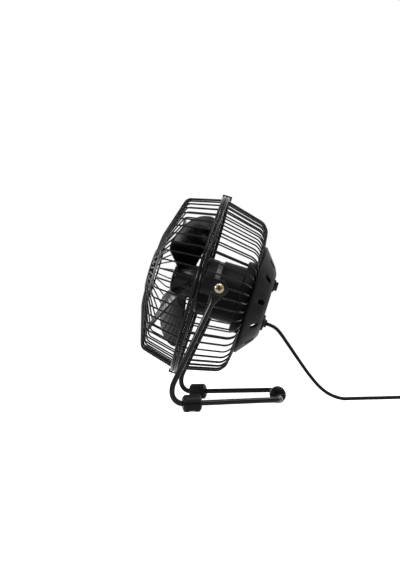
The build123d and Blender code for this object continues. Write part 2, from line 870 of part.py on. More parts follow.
tie_width = 5.0
tie_wall = 0.6
plug_width = 15.5
plug_length = 24.0
relief_length = 8.0
shell_length = 18.8
shell_size = (12.0, 4.5)


def coil_tie():
    # a rubber band round the turns where they run straight past the coil's side
    far = -2 * coil_outer_radius - cable_dia / 2
    near = far + coil_half_turns / 2 * coil_pitch + cable_dia
    top = on_table + layer_rise + cable_dia / 2
    outer = Box(near - far + 2 * tie_wall, tie_width, top + tie_wall)
    inner = Box(near - far, tie_width, top - tie_wall)
    return Pos((far + near) / 2, coil_start, (top + tie_wall) / 2) * (outer - inner)


def plug_grip():
    relief = Pos(relief_length / 2, 0, 0) * Rot(Y=90) * Cone(cable_dia * 0.8, cable_dia * 1.2, relief_length)
    body = Pos(relief_length + plug_length / 2, 0, 0) * Box(plug_length, plug_width, plug_height)
    body = chamfer(body.edges(), 1.2)
    return one(relief + body)


def plug_shell():
    outer = Box(shell_length, *shell_size)
    inner = Pos(1.5, 0, 0) * Box(shell_length, shell_size[0] - 0.8, shell_size[1] - 0.8)
    tongue = Pos(0, 0, 0.9) * Box(shell_length - 0.6, shell_size[0] - 0.8, 1.9)
    return Pos(relief_length + plug_length + shell_length / 2, 0, 0) * one(outer - inner + tongue)


plug_place = Pos(coil_end) * Rot(Z=180)
bodies["coil_tie"] = coil_tie()
bodies["usb_plug_grip"] = plug_place * plug_grip()
bodies["usb_plug_shell"] = plug_place * plug_shell()

# Origin under the middle of the fan, measured without the cable

cable_names = {"cord_drop", "cord_run", "cord_coil", "coil_tie", "usb_plug_grip", "usb_plug_shell"}
box = Compound([s for n, b in bodies.items() if n not in cable_names for s in b.solids()]).bounding_box()
to_origin = Pos(0, -(box.min.Y + box.max.Y) / 2, 0)
print("pivot", (to_origin * Pos(0, 0, pivot_height)).position, "box", box.size)
print("gland exit", (to_origin * Pos(exit_spot)).position)
print("rocker pivot", (to_origin * head * Pos(0, -switch_up, rocker_pivot)).position)

for name, body in bodies.items():
    export_step(to_origin * body, f"parts/{name}.step")
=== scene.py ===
import json
import math

import bmesh
import bpy
from mathutils import Matrix, Vector


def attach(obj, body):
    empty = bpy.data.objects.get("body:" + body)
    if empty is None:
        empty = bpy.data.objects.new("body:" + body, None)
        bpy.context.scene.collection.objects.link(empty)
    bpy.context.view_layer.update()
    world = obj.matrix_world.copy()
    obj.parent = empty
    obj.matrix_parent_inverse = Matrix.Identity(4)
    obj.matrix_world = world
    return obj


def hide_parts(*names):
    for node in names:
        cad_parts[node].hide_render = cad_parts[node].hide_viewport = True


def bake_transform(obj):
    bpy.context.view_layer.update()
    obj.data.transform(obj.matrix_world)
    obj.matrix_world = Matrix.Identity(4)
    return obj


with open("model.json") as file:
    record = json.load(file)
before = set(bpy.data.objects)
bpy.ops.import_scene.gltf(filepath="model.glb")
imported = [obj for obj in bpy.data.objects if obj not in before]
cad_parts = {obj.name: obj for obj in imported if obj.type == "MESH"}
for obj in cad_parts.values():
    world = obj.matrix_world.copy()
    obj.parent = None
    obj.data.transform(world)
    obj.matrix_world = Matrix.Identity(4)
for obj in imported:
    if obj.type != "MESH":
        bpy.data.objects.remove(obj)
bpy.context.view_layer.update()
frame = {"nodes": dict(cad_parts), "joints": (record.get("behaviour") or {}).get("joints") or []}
nodes = frame["nodes"]
mm = 0.001

# Places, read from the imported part

tiltJoint = next(j for j in frame["joints"] if j["name"] == "head_tilt")
pivot = Vector(tiltJoint["pos_m"])
restTilt = math.radians(18.9)  # how far the fan looks up
pivotDepth = 18.4 * mm  # from the plane where the two guards meet back to the pivots
# the fan unit is drawn with Z towards its back, Y down its disc, and zero where the two guards meet
fanPlace = (
    Matrix.Translation(pivot)
    @ Matrix.Rotation(math.radians(-90) - restTilt, 4, "X")
    @ Matrix.Translation((0, 0, -pivotDepth))
)
standPlace = Matrix.Translation((0, pivot.y, 0))  # the stand is drawn with the pivot above its origin
inMetres = Matrix.Scale(mm, 4)


def hexColour(code):
    # sRGB hex to the linear values that the shader works in
    parts = [int(code[i:i + 2], 16) / 255 for i in (1, 3, 5)]
    return (*[p / 12.92 if p <= 0.04045 else ((p + 0.055) / 1.055) ** 2.4 for p in parts], 1.0)


def addNode(tree, kind, sockets=None, **settings):
    # adds a node, sets its properties, then fills its sockets with values or links
    node = tree.nodes.new(kind)
    for name, value in settings.items():
        setattr(node, name, value)
    for name, value in (sockets or {}).items():
        if isinstance(value, bpy.types.NodeSocket):
            tree.links.new(value, node.inputs[name])
        else:
            node.inputs[name].default_value = value
    return node


# Finishes

finishes = {
    # black stove enamel on steel wire: deep and wet, with a faint orange peel in the highlights
    "stoveEnamel": dict(colour="#040405", shade="#080809", rough=(0.10, 0.18), grain=1.6, bump=0.04, gloss=0.10),
    # the same enamel on the thicker stand rod, a little worn where hands hold it
    "rodEnamel": dict(colour="#040404", shade="#080707", rough=(0.10, 0.17), grain=2.2, bump=0.04, gloss=0.13),
    # ABS moulded in a spark-eroded tool: an even fine pebble that breaks up the light
    "texturedAbs": dict(colour="#030303", shade="#060606", rough=(0.34, 0.46), grain=0.7, bump=0.10, gloss=0.05),
    # ABS from a polished tool, for the blades and the hub: mirror-like with slow ripples
    "polishedAbs": dict(colour="#040405", shade="#070708", rough=(0.10, 0.18), grain=6.0, bump=0.03, gloss=0.12),
    # satin ABS of the round plate in the front guard
    "satinAbs": dict(colour="#050505", shade="#0A0A0B", rough=(0.26, 0.36), grain=0.9, bump=0.05, gloss=0.08),
    # moulded rubber feet: dull and slightly dusty
    "mouldedRubber": dict(colour="#050505", shade="#0D0D0E", rough=(0.36, 0.52), grain=0.8, bump=0.12, gloss=0.07),
    # soft PVC round the cable: dull, with small drag marks from extrusion
    "extrudedPvc": dict(colour="#050505", shade="#0A0A0B", rough=(0.32, 0.46), grain=1.2, bump=0.08, gloss=0.08),
    # yellow zinc passivate: pale gold with greener and redder patches
    "yellowZinc": dict(colour="#8E8670", shade="#65543A", rough=(0.20, 0.36), grain=1.1, bump=0.08, metal=1.0),
    # the same zinc down in the driver's recess, darkened to brown: partly grease, partly painted shade of the
    # recess, so it is never bright
    "recessGreaseAndPaintedShade": dict(colour="#3A2C14", shade="#1C140A", rough=(0.45, 0.60), grain=0.6, bump=0.10, metal=0.6),
    # bright zinc on small steel parts: cool grey with cloudy patches
    "brightZinc": dict(colour="#C2C6CA", shade="#9DA2A8", rough=(0.22, 0.38), grain=1.4, bump=0.04, metal=1.0),
    # nickel on the plug's pressed shell: smooth and brighter
    "nickelPlate": dict(colour="#D0D0CC", shade="#B9B9B4", rough=(0.14, 0.24), grain=3.0, bump=0.03, metal=1.0),
    # zinc-dipped steel of the motor's can: dark grey, with fine lines along the drawing direction
    "drawnSteel": dict(colour="#3C3D3E", shade="#2F3031", rough=(0.36, 0.50), grain=0.5, bump=0.05, metal=1.0,
                       stretch=(1, 1, 0.08)),
    # sintered bronze bush: porous, so the grains darken it
    "sinteredBronze": dict(colour="#B08245", shade="#7C5527", rough=(0.38, 0.55), grain=0.35, bump=0.2, metal=1.0),
    # hard ferrite: charcoal grey and ground dull
    "ferrite": dict(colour="#2B2B2D", shade="#3A3A3D", rough=(0.55, 0.7), grain=0.6, bump=0.12),
    # stamped laminations: 0.5 mm sheets seen as bands along the stack
    "laminations": dict(colour="#7B7E82", shade="#55585C", rough=(0.35, 0.5), grain=0.5, bump=0.2, metal=1.0,
                        bands=True),
    # enamelled copper winding: wires of 0.4 mm side by side under a clear lacquer
    "enamelledCopper": dict(colour="#B5622E", shade="#6E3214", rough=(0.22, 0.34), grain=0.4, bump=0.35, metal=0.8,
                            bands=True),
    # turned copper of the commutator: fine tool rings
    "turnedCopper": dict(colour="#C98457", shade="#A9673C", rough=(0.22, 0.34), grain=0.4, bump=0.08, metal=1.0,
                         bands=True),
    # natural nylon of washers and the brush plate: milky and waxy
    "naturalNylon": dict(colour="#DAD7CC", shade="#CBC6B8", rough=(0.38, 0.5), grain=1.5, bump=0.05),
    # pressed carbon of the brushes
    "pressedCarbon": dict(colour="#252526", shade="#343436", rough=(0.5, 0.65), grain=0.4, bump=0.1),
    # stamped brass tabs
    "stampedBrass": dict(colour="#C9A95A", shade="#A98739", rough=(0.24, 0.36), grain=0.8, bump=0.05, metal=1.0),
    # red PVC over the inner leads
    "leadPvc": dict(colour="#A32B24", shade="#8C211B", rough=(0.38, 0.48), grain=1.0, bump=0.04),
    # rubber band that ties the coil: chalky from its dusting powder
    "tieRubber": dict(colour="#1C1C1D", shade="#2B2B2C", rough=(0.6, 0.78), grain=0.7, bump=0.12),
}


patchSize = 24 * mm  # patches where the surface was touched or wiped
bandsPerGrain = 3.2
shareRange = (0.7, 1.3)  # the summed noise that runs from colour to shade


def makeFinish(name, recipe):
    material = bpy.data.materials.new(name)
    material.use_nodes = True
    tree = material.node_tree
    tree.nodes.clear()
    spots = addNode(tree, "ShaderNodeTexCoord").outputs["Object"]
    stretch = recipe.get("stretch", (1, 1, 1))
    spots = addNode(tree, "ShaderNodeMapping", {"Vector": spots, "Scale": stretch}).outputs[0]
    perMetre = 1 / (recipe["grain"] * mm)
    if recipe.get("bands"):
        fine = addNode(tree, "ShaderNodeTexWave", {"Vector": spots, "Scale": perMetre / bandsPerGrain,
                       "Distortion": 0.6, "Detail": 1.0}, bands_direction="Y").outputs["Fac"]
    else:
        fine = addNode(tree, "ShaderNodeTexNoise", {"Vector": spots, "Scale": perMetre, "Detail": 3.0,
                       "Roughness": 0.55}).outputs["Fac"]
    patches = addNode(tree, "ShaderNodeTexNoise", {"Vector": spots, "Scale": 1 / patchSize,
                      "Detail": 2.0}).outputs["Fac"]
    mixed = addNode(tree, "ShaderNodeMath", {0: fine, 1: patches}, operation="ADD").outputs[0]
    share = addNode(tree, "ShaderNodeMapRange", {"Value": mixed, "From Min": shareRange[0],
                    "From Max": shareRange[1]}).outputs[0]
    colour = tree.nodes.new("ShaderNodeMix")
    colour.data_type = "RGBA"
    tree.links.new(share, colour.inputs[0])
    colour.inputs[6].default_value = hexColour(recipe["colour"])
    colour.inputs[7].default_value = hexColour(recipe["shade"])
    low, high = recipe["rough"]
    rough = addNode(tree, "ShaderNodeMapRange", {"Value": share, "To Min": low, "To Max": high}).outputs[0]
    bump = addNode(tree, "ShaderNodeBump", {"Height": fine, "Strength": min(1.0, recipe["bump"] * 4),
                   "Distance": recipe["bump"] * recipe["grain"] * mm}).outputs["Normal"]
    shader = addNode(tree, "ShaderNodeBsdfPrincipled", {"Base Color": colour.outputs[2], "Roughness": rough,
                     "Normal": bump, "Metallic": recipe.get("metal", 0.0),
                     "Specular IOR Level": recipe.get("gloss", 0.5)})
    addNode(tree, "ShaderNodeOutputMaterial", {"Surface": shader.outputs[0]})
    material.diffuse_color = hexColour(recipe["colour"])
    return material


materials = {name: makeFinish(name, recipe) for name, recipe in finishes.items()}
print("finishes", len(materials))

# Camera and light

cameraSet = dict(place=(1.089, 0.02212, 0.0773), target=(0.0, -0.00938, 0.104425), roll=1.75, lens=78.6)


def makeCamera():
    place, target = Vector(cameraSet["place"]), Vector(cameraSet["target"])
    ahead = (target - place).normalized()
    levelRight = ahead.cross(Vector((0, 0, 1))).normalized()
    levelUp = levelRight.cross(ahead)
    c, s = math.cos(math.radians(cameraSet["roll"])), math.sin(math.radians(cameraSet["roll"]))
    right, up = c * levelRight - s * levelUp, s * levelRight + c * levelUp
    data = bpy.data.cameras.new("camera")
    data.lens, data.sensor_width, data.clip_start = cameraSet["lens"], 36.0, 0.01
    camera = bpy.data.objects.new("camera", data)
    camera.matrix_world = Matrix.Translation(place) @ Matrix((right, up, -ahead)).transposed().to_4x4()
    bpy.context.scene.collection.objects.link(camera)
    bpy.context.scene.camera = camera


lamps = {
    # name: place, aim, the way its width runs, width, height, power
    "keyLamp": ((0.40, -0.40, 1.05), (0, 0, 0.09), (1, 0, 0), 0.45, 0.30, 2.5),
    # three strips that lie across the arms, the base and the guard's wires, for one thin line of light on each
    "armStrip": ((0.62, -0.95, 0.56), (0.08, -0.02, 0.06), (-0.91, -0.37, 0.19), 0.90, 0.10, 9.0),
    "baseStrip": ((0.45, 0.04, 1.05), (0.05, 0.04, 0.02), (1, 0, 0), 0.80, 0.08, 5.0),
    "wireStrip": ((0.45, 0.36, 0.98), (0.07, 0, 0.1), (1, 0, 0), 0.80, 0.06, 4.0),
    "rimLamp": ((-0.45, 0.85, 0.65), (0, 0.03, 0.1), (1, 0, 0), 0.15, 0.50, 4.0),
    "backLamp": ((0.20, 0.70, 1.00), (0, 0.05, 0.1), (1, 0, 0), 0.50, 0.40, 4.0),
}


def makeLamps():
    for name, (place, aim, along, width, height, power) in lamps.items():
        data = bpy.data.lights.new(name, "AREA")
        data.shape, data.size, data.size_y, data.energy = "RECTANGLE", width, height, power
        lamp = bpy.data.objects.new(name, data)
        back = (Vector(place) - Vector(aim)).normalized()
        right = (Vector(along) - back * back.dot(Vector(along))).normalized()
        turn = Matrix((right, back.cross(right), back)).transposed().to_4x4()
        lamp.matrix_world = Matrix.Translation(place) @ turn
        bpy.context.scene.collection.objects.link(lamp)


def whiteForRays(tree, plain, whiteShader):
    # the camera, reflections and see-through pieces meet white, other light meets the plain surface
    rays = addNode(tree, "ShaderNodeLightPath")
    seen = addNode(tree, "ShaderNodeMath", {0: rays.outputs["Is Camera Ray"], 1: rays.outputs["Is Glossy Ray"]},
                   operation="MAXIMUM")
    seen = addNode(tree, "ShaderNodeMath", {0: seen.outputs[0], 1: rays.outputs["Is Transmission Ray"]},
                   operation="MAXIMUM")
    return addNode(tree, "ShaderNodeMixShader", {0: seen.outputs[0], 1: plain, 2: whiteShader}).outputs[0]


def makeRoom():
    world = bpy.data.worlds.new("studio")
    bpy.context.scene.world = world
    world.use_nodes = True
    tree = world.node_tree
    tree.nodes.clear()
    plain = addNode(tree, "ShaderNodeBackground", {"Color": (1, 1, 1, 1), "Strength": 0.4}).outputs[0]
    white = addNode(tree, "ShaderNodeBackground", {"Color": (1, 1, 1, 1), "Strength": 1.0}).outputs[0]
    addNode(tree, "ShaderNodeOutputWorld", {"Surface": whiteForRays(tree, plain, white)})
    mesh = bpy.data.meshes.new("floor")
    half = 3.0
    mesh.from_pydata([(-half, -half, 0), (half, -half, 0), (half, half, 0), (-half, half, 0)], [], [(0, 1, 2, 3)])
    floor = bpy.data.objects.new("floor", mesh)
    bpy.context.scene.collection.objects.link(floor)
    material = bpy.data.materials.new("paleFloor")
    material.use_nodes = True
    tree = material.node_tree
    tree.nodes.clear()
    plain = addNode(tree, "ShaderNodeBsdfDiffuse", {"Color": (0.8, 0.8, 0.8, 1)}).outputs[0]
    # the floor's own glow grows away from the object, so that it meets the world without an edge
    spots = addNode(tree, "ShaderNodeTexCoord").outputs["Object"]
    away = addNode(tree, "ShaderNodeVectorMath", {0: spots}, operation="LENGTH").outputs["Value"]
    glow = addNode(tree, "ShaderNodeMapRange", {"Value": away, "From Min": 0.2, "From Max": 0.9, "To Min": 0.42,
                   "To Max": 0.75}).outputs[0]
    lift = addNode(tree, "ShaderNodeEmission", {"Color": (1, 1, 1, 1), "Strength": glow}).outputs[0]
    lifted = addNode(tree, "ShaderNodeAddShader", {0: plain, 1: lift}).outputs[0]  # keeps the shadow
    addNode(tree, "ShaderNodeOutputMaterial", {"Surface": whiteForRays(tree, plain, lifted)})
    mesh.materials.append(material)
    bpy.context.scene.view_settings.view_transform = "Standard"


makeCamera()
makeLamps()
makeRoom()
print("camera, lamps and floor")

# Making and finishing a piece


def newPiece(name, bm, place=Matrix.Identity(4), scale=inMetres):
    # a mesh drawn in millimetres becomes a piece whose place is in its mesh
    bmesh.ops.recalc_face_normals(bm, faces=bm.faces)
    mesh = bpy.data.meshes.new(name)
    bm.to_mesh(mesh)
    bm.free()
    mesh.transform(place @ scale)
    piece = bpy.data.objects.new(name, mesh)
    bpy.context.scene.collection.objects.link(piece)
    return piece


def baked(piece, sharp=32):
    # turns the modifiers into plain mesh and shades it smooth up to an angle
    bpy.context.view_layer.update()
    mesh = bpy.data.meshes.new_from_object(piece.evaluated_get(bpy.context.evaluated_depsgraph_get()))
    old = piece.data
    piece.modifiers.clear()
    piece.data = mesh
    mesh.name = piece.name
    bpy.data.meshes.remove(old)
    mesh.polygons.foreach_set("use_smooth", [True] * len(mesh.polygons))
    mesh.set_sharp_from_angle(angle=math.radians(sharp))
    return piece


def rounded(piece, width, angle, segments=3):
    edge = piece.modifiers.new("softEdge", "BEVEL")
    edge.width, edge.segments, edge.limit_method = width * mm, segments, "ANGLE"
    edge.angle_limit = math.radians(angle)
    return piece


def dress(piece, finish, body, replaced, second=None):
    # finishes by slot, the body that carries the piece and the solids it stands for
    for place, chosen in enumerate([finish, second] if second else [finish]):
        if place < len(piece.data.materials):
            piece.data.materials[place] = materials[chosen]
        else:
            piece.data.materials.append(materials[chosen])
    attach(piece, body)
    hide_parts(*replaced)
    return piece


def softened(node, name, width, angle):
    # a merged copy of the solid with its hard edges rounded
    bm = bmesh.new()
    bm.from_mesh(nodes[node].data)
    bmesh.ops.remove_doubles(bm, verts=bm.verts, dist=2e-6)
    bmesh.ops.dissolve_limit(bm, angle_limit=math.radians(0.6), verts=bm.verts, edges=bm.edges)
    mesh = bpy.data.meshes.new(name)
    bm.to_mesh(mesh)
    bm.free()
    piece = bpy.data.objects.new(name, mesh)
    bpy.context.scene.collection.objects.link(piece)
    return baked(rounded(piece, width, angle))


def frameAlong(points):
    # directions along a path and a side vector that turns as little as it can
    ends = zip([points[0]] + points[:-1], points[1:] + [points[-1]])
    ways = [(after - before).normalized() for before, after in ends]
    side = ways[0].orthogonal().normalized()
    sides = []
    for way in ways:
        side = (side - way * side.dot(way)).normalized()
        sides.append(side)
    return ways, sides


def skin(bm, rings):
    # faces between rings that follow each other, and one over each end
    sides = len(rings[0])
    for one, two in zip(rings, rings[1:]):
        for k in range(sides):
            bm.faces.new((one[k], one[(k + 1) % sides], two[(k + 1) % sides], two[k]))
    bm.faces.new(rings[0][::-1])
    bm.faces.new(rings[-1])


def sweepTube(bm, points, radius, sides):
    ways, turns = frameAlong(points)
    rings = []
    for i, point in enumerate(points):
        across = ways[i].cross(turns[i])
        ring = []
        for k in range(sides):
            a = 2 * math.pi * k / sides
            ring.append(bm.verts.new(point + turns[i] * (radius * math.cos(a)) + across * (radius * math.sin(a))))
        rings.append(ring)
    skin(bm, rings)


def lathe(bm, outline, segments=64, place=Matrix.Identity(4)):
    # turns an outline of (radius, height) about Z, closing it at the axis or back onto itself
    rings = []
    for radius, height in outline:
        if radius < 1e-6:
            rings.append([bm.verts.new(place @ Vector((0, 0, height)))])
        else:
            rings.append([bm.verts.new(place @ Vector((radius * math.cos(2 * math.pi * k / segments),
                         radius * math.sin(2 * math.pi * k / segments), height))) for k in range(segments)])
    pairs = list(zip(rings, rings[1:]))
    if len(rings[0]) > 1 and len(rings[-1]) > 1:
        pairs.append((rings[-1], rings[0]))
    for one, two in pairs:
        for k in range(segments):
            n = (k + 1) % segments
            corners = [one[k % len(one)], one[n % len(one)], two[n % len(two)], two[k % len(two)]]
            unique = list(dict.fromkeys(corners))
            if len(unique) > 2:
                bm.faces.new(unique)


def roundCorners(points, radii, steps=10):
    # a path of straight runs with an arc of the given radius at each inner corner
    path = [points[0]]
    for before, spot, after, radius in zip(points, points[1:], points[2:], radii):
        a, b = (before - spot).normalized(), (after - spot).normalized()
        half = a.angle(b) / 2
        centre = spot + (a + b).normalized() * (radius / math.sin(half))
        start, end = spot + a * (radius / math.tan(half)), spot + b * (radius / math.tan(half))
        u, turn = start - centre, math.pi - 2 * half
        v = ((end - centre) - u * math.cos(turn)) / math.sin(turn)
        path += [centre + u * math.cos(turn * k / steps) + v * math.sin(turn * k / steps) for k in range(steps + 1)]
    return path + [points[-1]]


# Cable: one line from the gland to the plug

cable = dict(
    diameter=3.0, sides=14,
    exit=(0, 39.378, 68.606),  # all points are behind the pivot and above the table, in millimetres
    drop=[(0, 45.2, 66.6), (0.1, 50.6, 61.2), (0.3, 56.7, 51.4), (0.2, 65.1, 38.2), (-0.2, 76.0, 21.4),
          (-0.3, 87.2, 8.2), (0, 100.6, 1.5), (0, 112.0, 1.5)],
    run=[(0, 123.0, 1.5), (1.6, 137.0, 1.5), (1.2, 152.0, 1.5), (0, 168.0, 1.5), (0, 183.0, 1.5)],
    coilStart=(0, 186.0, 1.5),
    # half turns of the coil: radius and how much each rises
    coil=[(22.0, 0), (20.25, 0), (18.5, 0), (16.75, 0), (15.0, 0), (13.25, 0), (11.5, 3.5), (13.25, 0), (15.0, 0),
          (16.75, 0), (18.5, 0), (20.25, 0), (22.0, 0), (23.75, 0)],
    perHalfTurn=8,
    lastTurn=25.5,  # a quarter turn round the pile
    plugEnd=[(-24.5, 211.5, 5.0), (-29.5, 211.5, 4.0), (-35.0, 211.5, 4.0)],
    length=1.0,
)


def cablePoints():
    points = [Vector(p) for p in (cable["exit"], *cable["drop"], *cable["run"])]
    spot, way = Vector(cable["coilStart"]), Vector((0, 1, 0))
    step = math.pi / cable["perHalfTurn"]
    turns = [(radius, rise, cable["perHalfTurn"]) for radius, rise in cable["coil"]]
    for radius, rise, count in turns + [(cable["lastTurn"], 0, cable["perHalfTurn"] // 2)]:
        left, climb = Vector((0, 0, 1)).cross(way), rise / (2 * radius)
        inward = left * math.sqrt(1 - climb**2) + Vector((0, 0, climb))
        centre, reach = spot + inward * radius, radius / math.cos(step / 2)
        for k in range(count):
            a = (k + 0.5) * step
            points.append(centre - inward * (reach * math.cos(a)) + way * (reach * math.sin(a)))
        spot, way = spot + inward * (2 * radius), -way
    points += [Vector(p) for p in cable["plugEnd"]]
    return [standPlace @ (inMetres @ p) for p in points]


def makeCable():
    points = cablePoints()
    curve = bpy.data.curves.new("cableLine", "CURVE")
    curve.dimensions, curve.resolution_u = "3D", 6
    spline = curve.splines.new("NURBS")
    spline.points.add(len(points) - 1)
    for spot, p in zip(spline.points, points):
        spot.co = (*p, 1.0)
    spline.order_u = 3
    spline.use_endpoint_u = True
    line = bpy.data.objects.new("cableLine", curve)
    bpy.context.scene.collection.objects.link(line)
    bpy.context.view_layer.update()
    traced = bpy.data.meshes.new_from_object(line)
    path = [v.co.copy() for v in traced.vertices]
    bpy.data.objects.remove(line)
    bpy.data.meshes.remove(traced)
    bm = bmesh.new()
    sweepTube(bm, path, cable["diameter"] / 2 * mm, cable["sides"])
    piece = newPiece("cable", bm, scale=Matrix.Identity(4))
    piece.data.polygons.foreach_set("use_smooth", [True] * len(piece.data.polygons))
    piece.data.materials.append(materials["extrudedPvc"])
    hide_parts("cord_drop", "cord_run", "cord_coil")
    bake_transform(piece)
    return piece, path


cablePiece, cablePath = makeCable()
print("cable", len(cablePath), "points")

# Wire guards: one tree bends a wire, sets it round the fan and adds the rings

frontGuard = dict(
    wires=52, firstWire=0.75, wire=1.4, bend=5.0,
    profile=[(76.7, -0.7), (68.4, -32.5), (34.0, -42.8), (17.9, -42.9)],
    rings=[(78.5, -1.5, 3.0), (31.0, -41.4, 1.6), (17.9, -43.0, 1.9)],
)
rearGuard = dict(
    wires=52, firstWire=0.75, wire=1.4, bend=9.0,
    profile=[(76.7, 0.7), (67.5, 37.5), (61.5, 42.3), (47.0, 44.3), (27.3, 44.3)],
    rings=[(78.5, 1.5, 3.0), (27.3, 44.3, 1.4)],
)


def guardTree():
    tree = bpy.data.node_groups.new("wireGuard", "GeometryNodeTree")
    face = tree.interface
    face.new_socket("Profile", in_out="INPUT", socket_type="NodeSocketGeometry")
    face.new_socket("Wires", in_out="INPUT", socket_type="NodeSocketInt")
    for name in ("First Wire", "Wire Radius", "Bend Radius"):
        face.new_socket(name, in_out="INPUT", socket_type="NodeSocketFloat")
    for ring in "ABC":
        for name in ("Ring Radius", "Ring Depth", "Ring Wire Radius"):
            face.new_socket(f"{name} {ring}", in_out="INPUT", socket_type="NodeSocketFloat")
    face.new_socket("Finish", in_out="INPUT", socket_type="NodeSocketMaterial")
    face.new_socket("Guard", in_out="OUTPUT", socket_type="NodeSocketGeometry")
    given = addNode(tree, "NodeGroupInput").outputs
    line = addNode(tree, "GeometryNodeMeshToCurve", {"Mesh": given["Profile"]}).outputs[0]
    line = addNode(tree, "GeometryNodeFilletCurve", {"Curve": line, "Count": 5, "Radius": given["Bend Radius"],
                   "Limit Radius": True}, mode="POLY").outputs[0]
    section = addNode(tree, "GeometryNodeCurvePrimitiveCircle", {"Resolution": 10, "Radius": given["Wire Radius"]})
    wire = addNode(tree, "GeometryNodeCurveToMesh", {"Curve": line, "Profile Curve": section.outputs[0],
                   "Fill Caps": True}).outputs[0]
    spots = addNode(tree, "GeometryNodePoints", {"Count": given["Wires"]}).outputs[0]
    index = addNode(tree, "GeometryNodeInputIndex").outputs[0]
    turn = addNode(tree, "ShaderNodeMath", {0: index, 1: given["First Wire"]}, operation="ADD").outputs[0]
    turn = addNode(tree, "ShaderNodeMath", {0: turn, 1: given["Wires"]}, operation="DIVIDE").outputs[0]
    turn = addNode(tree, "ShaderNodeMath", {0: turn, 1: 2 * math.pi}, operation="MULTIPLY").outputs[0]
    turn = addNode(tree, "ShaderNodeMath", {0: turn, 1: math.pi / 2}, operation="SUBTRACT").outputs[0]
    turned = addNode(tree, "ShaderNodeCombineXYZ", {"Z": turn}).outputs[0]
    wires = addNode(tree, "GeometryNodeInstanceOnPoints", {"Points": spots, "Instance": wire, "Rotation": turned})
    parts = [wires.outputs[0]]
    for ring in "ABC":
        circle = addNode(tree, "GeometryNodeCurvePrimitiveCircle", {"Resolution": 208,
                         "Radius": given[f"Ring Radius {ring}"]}).outputs[0]
        bar = addNode(tree, "GeometryNodeCurvePrimitiveCircle", {"Resolution": 14,
                      "Radius": given[f"Ring Wire Radius {ring}"]}).outputs[0]
        lift = addNode(tree, "ShaderNodeCombineXYZ", {"Z": given[f"Ring Depth {ring}"]}).outputs[0]
        tubeMesh = addNode(tree, "GeometryNodeCurveToMesh", {"Curve": circle, "Profile Curve": bar}).outputs[0]
        parts.append(addNode(tree, "GeometryNodeTransform", {"Geometry": tubeMesh, "Translation": lift}).outputs[0])
    joined = addNode(tree, "GeometryNodeJoinGeometry")
    for part in parts:
        tree.links.new(part, joined.inputs[0])
    smooth = addNode(tree, "GeometryNodeSetShadeSmooth", {"Geometry": joined.outputs[0]}).outputs[0]
    real = addNode(tree, "GeometryNodeRealizeInstances", {"Geometry": smooth}).outputs[0]
    painted = addNode(tree, "GeometryNodeSetMaterial", {"Geometry": real, "Material": given["Finish"]}).outputs[0]
    addNode(tree, "NodeGroupOutput", {"Guard": painted})
    return tree


def setInput(modifier, name, value):
    socket = next(s for s in modifier.node_group.interface.items_tree
                  if s.item_type == "SOCKET" and s.in_out == "INPUT" and s.name == name)
    modifier[socket.identifier] = value


def makeGuard(name, sizes, tree, replaced):
    mesh = bpy.data.meshes.new(name)
    profile = [(r * mm, 0, n * mm) for r, n in sizes["profile"]]
    mesh.from_pydata(profile, [(i, i + 1) for i in range(len(profile) - 1)], [])
    piece = bpy.data.objects.new(name, mesh)
    bpy.context.scene.collection.objects.link(piece)
    nodesModifier = piece.modifiers.new("wireGuard", "NODES")
    nodesModifier.node_group = tree
    setInput(nodesModifier, "Wires", sizes["wires"])
    setInput(nodesModifier, "First Wire", sizes["firstWire"])
    setInput(nodesModifier, "Wire Radius", sizes["wire"] / 2 * mm)
    setInput(nodesModifier, "Bend Radius", sizes["bend"] * mm)
    rings = sizes["rings"] + [sizes["rings"][-1]] * (3 - len(sizes["rings"]))
    for letter, (radius, depth, bar) in zip("ABC", rings):
        setInput(nodesModifier, f"Ring Radius {letter}", radius * mm)
        setInput(nodesModifier, f"Ring Depth {letter}", depth * mm)
        setInput(nodesModifier, f"Ring Wire Radius {letter}", bar / 2 * mm)
    setInput(nodesModifier, "Finish", materials["stoveEnamel"])
    baked(piece, 45)
    piece.data.transform(fanPlace)
    return dress(piece, "stoveEnamel", "head", replaced)


guardNodes = guardTree()
makeGuard("guardFront", frontGuard, guardNodes, ["guard_front"])
makeGuard("guardRear", rearGuard, guardNodes, ["guard_rear"])
print("guards")

# Stand: one bent rod, its ends pressed flat round the screws

stand = dict(
    rod=4.5, rodX=82.9, pivotHeight=99.0, armLean=27.5, bendForward=40.708, bendHeight=20.8, rodZ=6.85,
    baseBack=47.0, rearHalfWidth=66.0, bends=[19.0, 9.4, 9.0], eye=14.4, eyeThickness=2.4, eyeHole=4.2,
    flatStart=5.0, roundStart=14.4,
    sides=28, neckSteps=10, inset=0.04,
    flatWidth=0.72, squareness=(0.55, 0.25),  # the pressed neck as a share of the eye, and how square it gets
)


